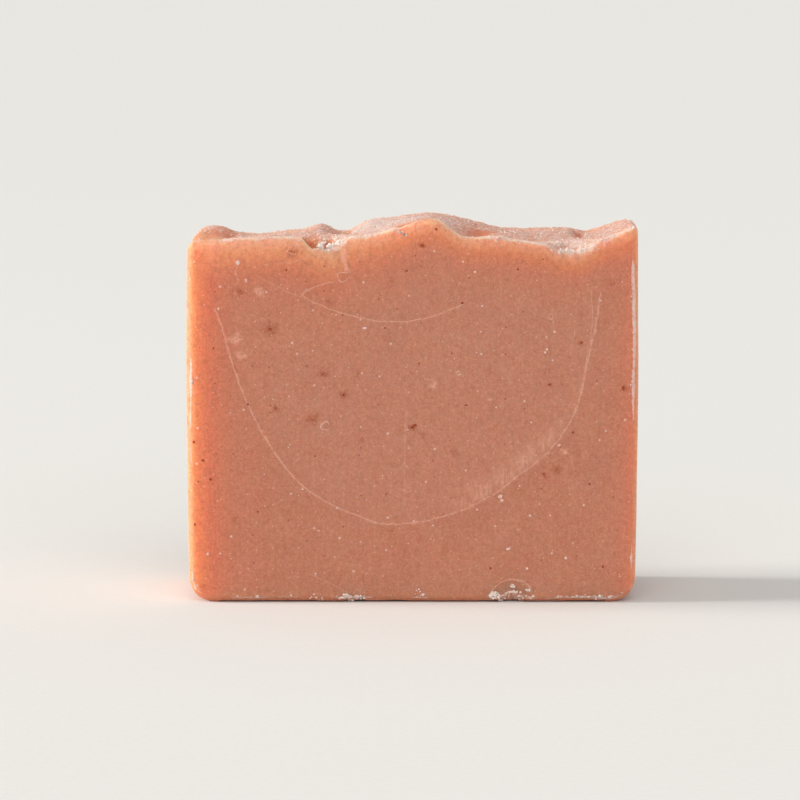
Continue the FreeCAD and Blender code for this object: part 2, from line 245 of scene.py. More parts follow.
def rough_noise(points, cell, seed, octaves=3):
    """Several smooth noises added, each half as wide and half as strong as the one before."""
    return sum(smooth_noise(points, cell / 2**i, seed + i) / 2**i for i in range(octaves))


def crumb_noise(points, cell, seed):
    """Distance to the nearest of many scattered crumb centres, about 0 to 1, in cells."""
    scaled = points / cell
    base = np.floor(scaled).astype(np.int64)
    nearest = np.full(len(points), 9.0)
    for corner in itertools.product((-1, 0, 1), repeat=3):
        cells = base + np.array(corner)
        centre = cells + np.stack([cell_hash(cells, seed + i) for i in range(3)], axis=1)
        nearest = np.minimum(nearest, np.linalg.norm(scaled - centre, axis=1))
    return nearest


def graded(*bands):
    """Places in a row, from bands that each give a start, an end and about how far apart the places
    lie."""
    pieces = [np.linspace(start, end, max(2, round((end - start) / step) + 1)) for start, end, step in bands]
    return np.unique(np.round(np.concatenate(pieces), 6))


def box_skin(counts, wall_columns, cut_rows):
    """The skin of a box of lattice points, open in the middle of its foot: the lattice numbers of its
    points, its outward quads, the side that each quad lies on, and the ring of points round the
    opening."""
    grid = np.stack(np.meshgrid(*(np.arange(n) for n in counts), indexing="ij"), axis=-1)
    last = np.array(counts) - 1
    x0, x1, y0, y1 = wall_columns, last[0] - wall_columns, cut_rows, last[1] - cut_rows
    x, y, z = (grid[..., axis] for axis in range(3))
    opening = (z == 0) & (x > x0) & (x < x1) & (y > y0) & (y < y1)
    wanted = np.any((grid == 0) | (grid == last), axis=-1) & ~opening
    number = np.full(counts, -1)
    number[wanted] = np.arange(wanted.sum())
    quads, sides = [], []
    for axis in range(3):
        for end in (0, -1):
            side = np.take(number, end, axis=axis)
            corners = [side[:-1, :-1], side[1:, :-1], side[1:, 1:], side[:-1, 1:]]
            corners = corners if (end == -1) != (axis == 1) else corners[::-1]
            found = np.stack([c.ravel() for c in corners], axis=1)
            found = found[np.all(found >= 0, axis=1)]
            quads.append(found)
            sides.append(np.full(len(found), 2 * axis + (end == 0)))
    ring = [number[x0, y, 0] for y in range(y0, y1)] + [number[x, y1, 0] for x in range(x0, x1)]
    ring += [number[x1, y, 0] for y in range(y1, y0, -1)] + [number[x, y0, 0] for x in range(x1, x0, -1)]
    return grid[wanted], np.concatenate(quads), np.concatenate(sides), ring[::-1]


def half_width(height):
    """Half the bar's width at a height: the mould's walls bow out a little in their middle."""
    return WALL - WALL_BOW * ((height - MID_HEIGHT) / MID_HEIGHT) ** 2


def cad_surface():
    """The solid's own surface, in millimetres, to measure heights and nearest points on."""
    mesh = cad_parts["soap_bar"].data
    points = [v.co / MM for v in mesh.vertices]
    return BVHTree.FromPolygons(points, [tuple(p.vertices) for p in mesh.polygons])


def top_heights(surface, across, through):
    """The worked top's height over each place, read from the solid just inside its outline."""
    inset_x = np.minimum(np.abs(across), WALL - 0.38)
    inset_y = np.minimum(np.abs(through), BACK - 0.04)
    over = np.maximum(0, BEVEL + 0.1 - ((WALL - 0.33 - inset_x) + (BACK - inset_y))) / 2
    xs, ys = np.sign(across) * (inset_x - over), np.sign(through) * (inset_y - over)
    down = Vector((0, 0, -1))
    heights = np.zeros(len(xs))
    for i, (x, y) in enumerate(zip(xs, ys)):
        hit = surface.ray_cast(Vector((x, y, 90.0)), down)[0]
        if hit is None:
            raise RuntimeError(f"no top over {x:.2f}, {y:.2f}")
        heights[i] = hit.z
    return heights


def relaxed(points, quads, rounds, share):
    """Each point drawn towards the middle of its neighbours, which softens a sharp edge."""
    edges = np.concatenate([quads[:, [a, (a + 1) % 4]] for a in range(4)])
    edges = np.unique(np.sort(edges, axis=1), axis=0)
    count = np.bincount(edges.ravel(), minlength=len(points))[:, None]
    for _ in range(rounds):
        total = np.zeros_like(points)
        for axis in range(3):
            total[:, axis] = np.bincount(edges[:, 0], points[edges[:, 1], axis], len(points))
            total[:, axis] += np.bincount(edges[:, 1], points[edges[:, 0], axis], len(points))
        points = points + share * (total / count - points)
    return points


def normals(points, quads):
    """Outward unit normals at the points."""
    across = points[quads[:, 2]] - points[quads[:, 0]]
    up = points[quads[:, 3]] - points[quads[:, 1]]
    faces = np.cross(across, up)
    total = np.zeros_like(points)
    for axis in range(3):
        for corner in range(4):
            total[:, axis] += np.bincount(quads[:, corner], faces[:, axis], len(points))
    return total / np.maximum(np.linalg.norm(total, axis=1, keepdims=True), 1e-12)


def rolled(first_gap, second_gap, radius):
    """Two gaps from a sharp edge, drawn in so that the edge is rolled over a radius."""
    near = (first_gap < radius) & (second_gap < radius)
    first, second = radius - first_gap, radius - second_gap
    reach = np.maximum(np.hypot(first, second), 1e-9)
    pull = np.where(near, np.minimum(1, radius / reach), 1)
    return [np.where(near, radius - way * pull, gap) for way, gap in ((first, first_gap), (second, second_gap))]


def cast_bar():
    """The whole bar as the mould, the spoon and the wire left it: points, quads with their sides, the
    opening under the foot, and each point's height of top."""
    surface = cad_surface()
    xs = graded((-WALL, 1.6 - WALL, 0.22), (1.6 - WALL, WALL - 1.6, 0.27), (WALL - 1.6, WALL, 0.22))
    ys = graded((FRONT, FRONT + 1.4, 0.2), (FRONT + 1.4, BACK - 1.4, 0.3), (BACK - 1.4, BACK, 0.2))
    rows = graded((0.0, 4.2, 0.28), (4.2, 55.0, 1.7), (55.0, 61.0, 0.6), (61.0, 65.0, 0.21))
    lattice, quads, sides, ring = box_skin((len(xs), len(ys), len(rows)), 21, 4)
    columns, which = np.unique(lattice[:, :2], axis=0, return_inverse=True)
    column_tops = top_heights(surface, xs[columns[:, 0]], ys[columns[:, 1]])
    top = column_tops[which.ravel()]
    points = np.stack([xs[lattice[:, 0]], ys[lattice[:, 1]], rows[lattice[:, 2]] / 65.0 * top], axis=1)
    points[:, 0] *= half_width(points[:, 2]) / WALL
    points = np.array([surface.find_nearest(Vector(p))[0] for p in points])
    # The spoon rolled the left end of the top over more than the right.
    half = half_width(points[:, 2])
    radius = np.where(points[:, 0] < 0, 2.6, 1.0)
    gap_x, gap_z = rolled(half - np.abs(points[:, 0]), np.maximum(top - points[:, 2], 0), radius)
    points[:, 0] = np.sign(points[:, 0]) * (half - gap_x)
    points[:, 2] = np.where(top - points[:, 2] < radius, top - gap_z, points[:, 2])
    lip_radius = 0.60 + 0.35 * smooth_noise(points * [1, 0, 0], 3.0, 97)
    lip_radius += 0.5 * smooth_step(-31, -36, points[:, 0])
    gap_y, gap_z = rolled(BACK - np.abs(points[:, 1]), np.maximum(top - points[:, 2], 0), lip_radius)
    points[:, 1] = np.sign(points[:, 1]) * (BACK - gap_y)
    points[:, 2] = np.where(top - points[:, 2] < lip_radius, top - gap_z, points[:, 2])
    return relaxed(points, quads, 2, 0.45), quads, sides, ring, top


def wiped(points, quads):
    """The bar with its front and back edges rubbed rounder by handling, most of all on the left."""
    softer = relaxed(points, quads, 14, 0.5)
    from_cut = BACK - np.abs(points[:, 1])
    from_wall = half_width(points[:, 2]) - np.abs(points[:, 0])
    near = np.exp(-(((np.maximum(from_cut, 0) + np.maximum(from_wall, 0)) / 2.2) ** 4))
    share = near * np.where(points[:, 0] < 0, 1.0, 0.25) * smooth_step(1.0, 3.0, points[:, 2])
    return points + share[:, None] * (softer - points)


def bumps(points, marks, power=2):
    """For each point, the strongest of some round marks, each with a centre, a reach and a strength."""
    total = np.zeros(len(points))
    for across, in_from_front, up, reach, strength in marks:
        gap = np.linalg.norm(points - np.array([across, FRONT + in_from_front, up]), axis=1)
        total = np.maximum(total, strength * np.exp(-((gap / reach) ** power)))
    return total


def worked(points, quads, top):
    """Roughens the top, crumbles its lips, tears the chips and wears the planed edges, all inside the
    solid's box."""
    normal = normals(points, quads)
    inward = relaxed(normal, quads, 12, 0.5)
    inward /= np.linalg.norm(inward, axis=1, keepdims=True)
    below = np.maximum(top - points[:, 2], 0)
    from_cut = np.maximum(np.minimum(points[:, 1] - FRONT, BACK - points[:, 1]), 0)
    from_wall = half_width(points[:, 2]) - np.abs(points[:, 0])
    edge_gap = np.minimum(np.maximum(from_wall, 0), np.maximum(points[:, 2], 0))
    upward = smooth_step(0.30, 0.70, normal[:, 2]) * (points[:, 2] > 55)
    past_bevel = np.minimum((from_cut + edge_gap - BEVEL) / 1.4, from_cut)
    dented = np.maximum(smooth_step(0.12, 0.4, past_bevel), upward)
    torn = bumps(points, [mark[:4] + (1.0,) for mark in TORN], 4) * dented
    bloom = bumps(points, TORN, 4) * dented
    lip = np.exp(-(((below + np.minimum(from_cut, np.maximum(from_wall, 0) + 0.2)) / 0.8) ** 2))
    rough = 0.65 + 0.35 * smooth_noise(points, 9.0, 7)
    swell = rough_noise(points * [1, 0.8, 1], 5.5, 11)
    tear = 1 - 2 * np.abs(smooth_noise(points * [0.8, 1.5, 1], 2.4, 23))
    pebble = 0.55 - crumb_noise(points, 1.15, 31)
    grit = smooth_noise(points, 0.55, 41)
    relief = upward * (0.13 * swell + rough * (0.15 * tear + 0.20 * pebble + 0.06 * grit) - 0.10)
    crumble = 0.04 + 0.30 * np.maximum(smooth_noise(points, 1.7, 53), 0)
    crumble += 0.40 * np.maximum(smooth_noise(points, 0.8, 59) - 0.25, 0)
    torn_depth = torn * (0.50 * crumb_noise(points, 1.7, 61) - 0.16 + 0.12 * smooth_noise(points, 0.7, 67))
    torn_depth -= torn * 0.45 * (points[:, 2] < 5)
    planed = np.exp(-(((from_cut + edge_gap - BEVEL) / 0.45) ** 2)) * (1 - upward)
    relief -= planed * np.maximum(0.05 + 0.10 * smooth_noise(points * [1, 1, 0.5], 2.6, 71), 0)
    relief -= (1 - upward) * 0.04 * (1 + rough_noise(points, 14.0, 83, 2))
    moved = points + normal * relief[:, None] - inward * (lip * crumble + torn_depth)[:, None]
    strayed = points + np.stack([smooth_noise(points, 1.3, seed) for seed in (107, 109, 113)], axis=1) * 0.55
    moved[:, 2] -= patches(strayed, PITS) * smooth_step(2.2, 0.2, below)
    moved[:, 1] += crease_depth(moved)
    for across, up, breadth, rise, sink in FLAKES:
        away = np.hypot((points[:, 0] - across) / breadth, (points[:, 2] - up) / rise)
        bowl = (0.35 + 0.65 * np.maximum(1 - away**2, 0)) * smooth_step(1.04, 0.90, away)
        moved[:, 1] += sink * bowl * (from_cut < 0.1) * (1 - torn)
    moved[:, 2] = np.where(points[:, 2] < 0.02, points[:, 2], moved[:, 2])
    moved = np.clip(moved, LOW, HIGH)
    raised = np.sum((moved - relaxed(moved, quads, 4, 0.5)) * normals(moved, quads), axis=1)
    fields = {"below_lip": below, "torn": torn, "crest": np.clip(raised / 0.05, -1, 1), "bloom": bloom}
    return moved, fields, from_cut, from_wall, upward


def crease_depth(points):
    """How deep the short crease under the lip is pressed into the front cut face, in millimetres."""
    line = np.array(FACE_LINES["crease"][2])
    across = np.interp(points[:, 2], line[::-1, 1], line[::-1, 0])
    inside = smooth_step(line[-1, 1] - 0.6, line[-1, 1] + 1.2, points[:, 2]) * (points[:, 1] < FRONT + 0.6)
    gap = points[:, 0] - across - 0.18
    return 0.20 * np.exp(-((gap / 0.42) ** 2)) * inside


def rounded(places, rounds=3):
    """A line of places with its corners cut, again and again, so that it runs smoothly."""
    line = np.array(places, float)
    for _ in range(rounds):
        first = 0.75 * line[:-1] + 0.25 * line[1:]
        second = 0.25 * line[:-1] + 0.75 * line[1:]
        line = np.concatenate([line[:1], np.stack([first, second], axis=1).reshape(-1, 2), line[-1:]])
    return line


def line_field(points):
    """For each point, the signed gap to the nearest face line, in half widths of it, and how strongly
    it shows."""
    gap = np.full(len(points), 40.0)
    show = np.zeros(len(points))
    best = np.full(len(points), 1e9)
    place = points[:, [0, 2]]
    near_face = points[:, 1] < 0
    for strength, width, places in FACE_LINES.values():
        line = rounded(places)
        steps = np.diff(line, axis=0)
        lengths = np.linalg.norm(steps, axis=1)
        along = np.concatenate([[0], np.cumsum(lengths)])
        around = (place > line.min(0) - 2) & (place < line.max(0) + 2)
        chosen = np.flatnonzero(near_face & np.all(around, axis=1))
        for start, step, length, run in zip(line, steps, lengths, along):
            offset = place[chosen] - start
            t = np.clip(offset @ step / length**2, 0, 1)
            rest = offset - t[:, None] * step
            distance = np.linalg.norm(rest, axis=1)
            nearer = distance < best[chosen]
            which = chosen[nearer]
            best[which] = distance[nearer]
            side = np.sign(step[0] * rest[nearer, 1] - step[1] * rest[nearer, 0])
            gap[which] = side * distance[nearer] / width
            travelled = run + t[nearer] * length
            fade = smooth_step(0, 1.2, travelled) * smooth_step(0, 1.2, along[-1] - travelled)
            show[which] = strength * fade * (distance[nearer] < 1.3)
    return gap, show


def pool_field(points):
    """1 inside the great arc, where the pour ran thinner and set paler, and 0 outside it. A second
    field is the band along its lower right where the wire smeared it."""
    line = rounded(FACE_LINES["great_arc"][2])
    floor = np.interp(points[:, 0], line[:, 0], line[:, 1], left=90, right=90)
    height = points[:, 2] - floor
    front = points[:, 1] < 6
    smear = smooth_step(4, 13, points[:, 0]) * smooth_step(30, 21, points[:, 0])
    smear *= smooth_step(-0.2, 0.6, height) * smooth_step(5.5, 1.0, height)
    return smooth_step(-1.0, 2.5, height) * front, smear * front


def burr_field(points):
    """How much burr furs the front bevel's ridge at each point."""
    total = np.full(len(points), 0.12)
    for side, place, reach, strength in BURRS:
        if side == "foot":
            along, near = points[:, 0], points[:, 2] < 4
        else:
            along = points[:, 2]
            near = (points[:, 0] > 30) if side == "right" else (points[:, 0] < -30)
        total = np.maximum(total, strength * near * np.exp(-(((along - place) / reach) ** 4)))
    return total * (points[:, 1] < 0) + 0.15 * (points[:, 1] >= 0)


def patches(points, marks):
    """The sum of some soft oval patches seen from above, each with a middle, two half widths and a
    strength."""
    total = np.zeros(len(points))
    for across, through, breadth, depth, strength in marks:
        share = ((points[:, 0] - across) / breadth) ** 2 + ((points[:, 1] - through) / depth) ** 2
        total += strength * np.exp(-share)
    return total


def rim_field(points, from_wall):
    """The gap from the bar's outline, measured in the plane of the cut faces."""
    corner_x = half_width(points[:, 2]) - FOOT_RADIUS
    in_corner = (np.abs(points[:, 0]) > corner_x) & (points[:, 2] < FOOT_RADIUS)
    round_gap = FOOT_RADIUS - np.hypot(np.abs(points[:, 0]) - corner_x, points[:, 2] - FOOT_RADIUS)
    return np.where(in_corner, round_gap, np.minimum(from_wall, points[:, 2]))


def new_mesh(name, points, faces, fields=()):
    """A mesh in metres from points in millimetres, smooth shaded, with named numbers at its points."""
    mesh = bpy.data.meshes.new(name)
    mesh.from_pydata((np.asarray(points) * MM).tolist(), [], [tuple(int(i) for i in face) for face in faces])
    mesh.shade_smooth()
    for field, values in dict(fields).items():
        mesh.attributes.new(field, "FLOAT", "POINT").data.foreach_set("value", np.asarray(values, np.float32))
    return mesh


def add_skin_map(mesh, points, sides):
    """A flat map in millimetres over each side of the bar: across and up, through and up, or across and
    through."""
    places = {0: (1, 2), 1: (1, 2), 2: (0, 2), 3: (0, 2), 4: (0, 1), 5: (0, 1)}
    layer = mesh.uv_layers.new(name="skin")
    corners = np.empty(len(mesh.loops), np.int64)
    mesh.loops.foreach_get("vertex_index", corners)
    side = np.full(len(corners), 5)
    side[: 4 * len(sides)] = np.repeat(sides, 4)
    flat = np.zeros((len(corners), 2))
    for number, axes in places.items():
        chosen = side == number
        flat[chosen] = points[corners[chosen]][:, axes] + [200.0 * number, 0.0]
    layer.uv.foreach_set("vector", flat.astype(np.float32).ravel())


def new_object(name, mesh):
    """Links a mesh into the scene as an object of the same name."""
    made = bpy.data.objects.new(name, mesh)
    bpy.context.scene.collection.objects.link(made)
    return made


def dress(piece, replaced=None):
    """Tells the frame that a piece rides the bar's body and fills its slot."""
    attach(piece, "root")
    if replaced:
        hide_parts(replaced)


def add_node(tree, kind, *values, output=0, **settings):
    """Adds a node with its settings and gives one of its outputs, or the node itself where output is
    None. Its sockets take the values in order, or by name from a dict: sockets are linked, and any
    other value is set."""
    made = tree.nodes.new(kind)
    for name, value in settings.items():
        setattr(made, name, value)
    given = values[0] if values and isinstance(values[0], dict) else dict(enumerate(values))
    for socket, value in given.items():
        for source in value if isinstance(value, list) else [value]:
            if isinstance(source, bpy.types.NodeSocket):
                tree.links.new(source, made.inputs[socket])
            else:
                made.inputs[socket].default_value = source
    return made if output is None else made.outputs[output]


def new_material(name):
    """An empty node material and the function that adds a node to it."""
    material = bpy.data.materials.new(name)
    material.use_nodes = True
    material.node_tree.nodes.clear()
    return material, partial(add_node, material.node_tree)


def object_millimetres(add):
    """The place on the object in millimetres."""
    place = add("ShaderNodeTexCoord", output="Object")
    return add("ShaderNodeMapping", {"Vector": place, "Scale": (1000, 1000, 1000)})


def coated(add, colour, coats):
    """A colour with coats laid over it in turn, each with where it lies, how strongly, and its tint."""
    for where, strength, tint in coats:
        share = add(MATH, where, strength, operation="MULTIPLY")
        colour = add(MIX, {"Factor": share, 6: colour, 7: tint}, output=2, data_type="RGBA")
    return colour


def specks(add, flat_place, spacing, biggest, rarity, seed, soft=0.07):
    """Round specks on the skin: about one to each cell, in all sizes down from the biggest, and rare in
    part."""
    shifted = add("ShaderNodeMapping", {"Vector": flat_place, "Location": (seed * 3.7, seed * 5.3, 0)})
    values = {"Vector": shifted, "Scale": 1 / spacing}
    cells = add("ShaderNodeTexVoronoi", values, output=None, feature="F1", voronoi_dimensions="2D")
    chance = add("ShaderNodeSeparateColor", cells.outputs["Color"])
    size = add(RANGE, chance, rarity, 1.0, 0.0, biggest / spacing)
    inside = add(MATH, size, cells.outputs["Distance"], operation="SUBTRACT")
    return add(RANGE, inside, 0.0, soft / spacing)


def blots(add, warped, marks):
    """The strongest of some soft blots on the front face, each with its place across and up, its heart
    and reach."""
    shown = 0.0
    for across, up, heart, reach in marks:
        middle = (across + WARP[0] / 2, FRONT, up + WARP[2] / 2)
        gap = add(VECTOR, warped, middle, output="Value", operation="DISTANCE")
        shown = add(MATH, shown, add(RANGE, gap, heart, reach, 1.0, 0.0, **SMOOTH), operation="MAXIMUM")
    return shown


def clay_colour(skin, colours):
    """Clouded clay with painted glow of light bleeding in at its edges: paler at the rim, partly dried soap,
    and redder behind it. With fine grain and the wire's upright streaks. Gives the streaks too."""
    add, field, pattern = skin.add, skin.field, skin.pattern
    clouds = add(MATH, pattern["clouds"], pattern["small_clouds"], operation="ADD")
    # Within 14 mm of its skin the bar set cooler in the mould than its heart did, and kept more colour.
    cool = add(RANGE, field["blush_gap"], 4.0, 20.0, 0.85, 0.0, **SMOOTH)
    # Painted glow: a redder band up to 8 mm deep and a paler, clearer band in the outermost 3 mm stand in for
    # light that bleeds in through the lit edges, most on the left. The paler band is partly dried soap as well.
    blush = add(RANGE, field["blush_gap"], 1.5, 9.5, 0.85, 0.0, **SMOOTH)
    waver = add(MATH, pattern["waver"], 1.6, -0.8, operation="MULTIPLY_ADD")
    lip_glow, wall_glow = (
        add(RANGE, add(MATH, field[gap], waver, operation="ADD"), 0.4, 5.6, 0.95, 0.0, **SMOOTH)
        for gap in ("lip_dry_gap", "dry_gap")
    )
    lip_glow_tint = coated(add, colours.soap_lip_glow, [(field["side"], 1.0, colours.soap_right_lip_glow)])
    on_top = add(RANGE, field["up"], 0.0, 1.0, 1.0, 0.65)
    worn = add(MATH, waver, 0.3, field["worn"], operation="MULTIPLY_ADD")
    rind = add(RANGE, worn, 0.2, 1.3, 0.32, 0.0, **SMOOTH)
    haze = add(RANGE, field["below_lip"], 0.4, 3.2, 0.42, 0.0, **SMOOTH)
    haze = add(MATH, haze, add(RANGE, field["up"], 0.0, 0.5, 1.0, 0.0), operation="MULTIPLY")
    coats = (
        (add(RANGE, clouds, 0.72, 1.28), 1.0, colours.soap),
        (field["pool"], 0.35, colours.soap_pale),
        (cool, 1.0, colours.soap_skin),
        # Painted red glow of light scattered in through the edges, strongest on the left.
        (blush, add(RANGE, field["up"], 0.0, 1.0, 1.0, 0.4), colours.soap_red_glow),
        # Painted glow of light bleeding in under the lip and through the lit walls, partly dried soap.
        (lip_glow, on_top, lip_glow_tint),
        (wall_glow, on_top, colours.soap_edge_glow),
        # Painted glow of lamp light on the bare mound at the left end of the top.
        (add(RANGE, field["ash"], -0.1, -0.42, 0.0, 0.8), 1.0, colours.soap_lip_glow),
        (add(MATH, rind, haze, operation="MAXIMUM"), 1.0, colours.soap_rind),
        # Painted bounce light on the shaded bevel at the foot.
        (field["foot"], 0.9, colours.soap_foot_bounce),
        # Painted shade and glow in the bare hollows of the top.
        (field["hollow"], 0.85, colours.soap_hollow_shade),
        (add(RANGE, pattern["fleck"], 0.46, 0.72), 0.55, colours.soap_rust),
        (add(RANGE, pattern["grain"], 0.50, 0.78), 0.45, colours.soap_light),
    )
    clay = coated(add, colours.soap_deep, coats)
    # The wire drags upright streaks about 0.3 mm apart and 12 mm long down both cut faces.
    streak_place = add("ShaderNodeMapping", {"Vector": skin.place, "Scale": (3.0, 0.3, 0.07)})
    streaks = add(NOISE, {"Vector": streak_place, "Scale": 1.0, "Detail": 4.0, "Roughness": 0.65})
    streaks = add(MATH, add(RANGE, streaks, 0.35, 0.65, -0.5, 0.5), field["cut"], operation="MULTIPLY")
    tone = add(MATH, streaks, 0.055, 1.0, operation="MULTIPLY_ADD")
    tone = add(MATH, skin.even_grain, 0.20, tone, operation="MULTIPLY_ADD")
    return add("ShaderNodeHueSaturation", {"Color": clay, "Value": tone}), streaks


def speck_marks(skin):
    """Where the soap is stained, where it is smudged, and where it shows brown and white specks."""
    add, place, flat_place = skin.add, skin.place, skin.flat_place
    bend = add(NOISE, {"Vector": place, "Scale": 0.9, "Detail": 2.0}, output="Color")
    warped = add(VECTOR, bend, WARP, place, operation="MULTIPLY_ADD")
    flat_warped = add(VECTOR, bend, (1.8, 1.8, 0.0), flat_place, operation="MULTIPLY_ADD")
    # Stains where a grain of spice bled, named one by one, and small ones all over.
    small = add(MATH, specks(add, flat_warped, 5.5, 1.1, 0.62, 5, 1.0), 0.8, operation="MULTIPLY")
    bled = [(across, up, 0.1, reach) for across, up, _, _, reach in SPICE_GRAINS if reach]
    named = blots(add, warped, bled)
    stain = add(MATH, small, named, operation="MAXIMUM")
    stain = add(MATH, stain, add(RANGE, skin.pattern["bleed"], 0.32, 0.60, 0.12, 0.80), operation="MULTIPLY")
    smudge = blots(add, warped, [(across, up, 0.2, reach) for across, up, reach in SMUDGES])
    spice = specks(add, flat_place, 3.2, 0.19, 0.60, 2)
    fine, coarse = specks(add, flat_place, 1.5, 0.15, 0.45, 3), specks(add, flat_place, 4.2, 0.26, 0.45, 7)
    return stain, smudge, spice, add(MATH, fine, coarse, operation="MAXIMUM")


def line_marks(skin, smudge):
    """Lines that wander by a fifth of a millimetre and break up where the wire smeared them: how much
    each shows, the step of the soap at it, and how pale the soap is there or under a smear."""
    add, field, pattern = skin.add, skin.field, skin.pattern
    wander = add(MATH, pattern["wander"], 6.0, -3.0, operation="MULTIPLY_ADD")
    gap = add(MATH, field["line_gap"], wander, operation="ADD")
    line = add(RANGE, add(MATH, gap, operation="ABSOLUTE"), 0.2, 2.2, 1.0, 0.0, **SMOOTH)
    line = add(MATH, line, skin.patchy, operation="MULTIPLY")
    line = add(MATH, line, field["line_show"], operation="MULTIPLY")
    step = add(RANGE, gap, -1.5, 1.5, 0.0, 1.0, **SMOOTH)
    step = add(MATH, step, field["line_show"], operation="MULTIPLY")
    smear_place = add("ShaderNodeMapping", {"Vector": skin.place, "Scale": (2.0, 0.3, 0.40)})
    smear = add(NOISE, {"Vector": smear_place, "Scale": 1.0, "Detail": 5.0, "Roughness": 0.7})
    smear = add(MATH, field["smear"], add(RANGE, smear, 0.38, 0.72), operation="MULTIPLY")
    smudge = add(MATH, smudge, skin.patchy, operation="MULTIPLY")
    rubbed = add(MATH, add(MATH, smear, smudge, operation="MAXIMUM"), 0.62, operation="MULTIPLY")
    pale = add(MATH, add(MATH, line, 0.55, operation="MULTIPLY"), rubbed, operation="MAXIMUM")
    return line, step, pale


def powder_marks(skin):
    """Where the soap crumbled pale, and where it is powdered white: on its lips, on its burr and on its
    worked top."""
    add, field, pattern = skin.add, skin.field, skin.pattern
    ragged = add(RANGE, pattern["ragged"], 0.3, 0.7)
    dry = add(RANGE, field["hollow"], 0.1, 0.6, 1.0, 0.0)
    # Crumbled lips: a ragged pale band up to a millimetre deep, and a white thread along its crest.
    lips = []
    for swell, least in ((0.95, 0.10), (0.55, 0.12)):
        reach = add(MATH, ragged, swell, least, operation="MULTIPLY_ADD")
        reach = add(MATH, reach, field["lip_white"], operation="MULTIPLY")
        lips.append(add(MATH, reach, field["lip_gap"], operation="SUBTRACT"))
    band, thread = lips
    band = add(MATH, add(RANGE, band, -0.40, 0.40, 0.0, 0.85, **SMOOTH), dry, operation="MULTIPLY")
    torn = add(MATH, field["bloom"], add(RANGE, ragged, 0.3, 0.9, 0.1, 0.9), operation="MULTIPLY")
    crumbled = add(MATH, band, torn, operation="MAXIMUM")
    thread = add(MATH, add(RANGE, thread, -0.16, 0.16, 0.0, 0.85), dry, operation="MULTIPLY")
    thread = add(MATH, thread, add(RANGE, pattern["gaps"], 0.42, 0.64, 0.05, 0.9), operation="MULTIPLY")
    # Burr along the ridge of the planed bevel, half a millimetre wide where it is thick.
    swing = add(MATH, pattern["swing"], 1.1, -0.55, operation="MULTIPLY_ADD")
    swing = add(MATH, ragged, 0.30, swing, operation="MULTIPLY_ADD")
    ridge = add(MATH, add(MATH, field["rim"], BEVEL - 0.12, operation="SUBTRACT"), swing, operation="ADD")
    thick = add(MATH, field["burr"], 0.32, -0.06, operation="MULTIPLY_ADD")
    fur = add(MATH, thick, add(MATH, ridge, operation="ABSOLUTE"), operation="SUBTRACT")
    fur = add(MATH, add(RANGE, fur, -0.05, 0.12), field["cut"], operation="MULTIPLY")
    fur = add(MATH, fur, add(RANGE, skin.patchy, 0.2, 1.0, 0.575, 1.15), operation="MULTIPLY")
    # Ash on the worked top is thick on its crests and thin in its dishes, in patches of about 1 mm.
    crust = add(MATH, field["crest"], 0.25, field["ash"], operation="MULTIPLY_ADD")
    crust = add(MATH, crust, add(RANGE, pattern["drift"], 0.34, 0.68, -0.50, 0.50), operation="ADD")
    crust = add(MATH, field["hollow"], -0.8, crust, operation="MULTIPLY_ADD")
    crust = add(MATH, crust, add(RANGE, field["up"], 0.0, 0.4), operation="MULTIPLY", use_clamp=True)
    powder = add(MATH, crust, thread, operation="MAXIMUM")
    return crumbled, add(MATH, powder, fur, operation="MAXIMUM", use_clamp=True)


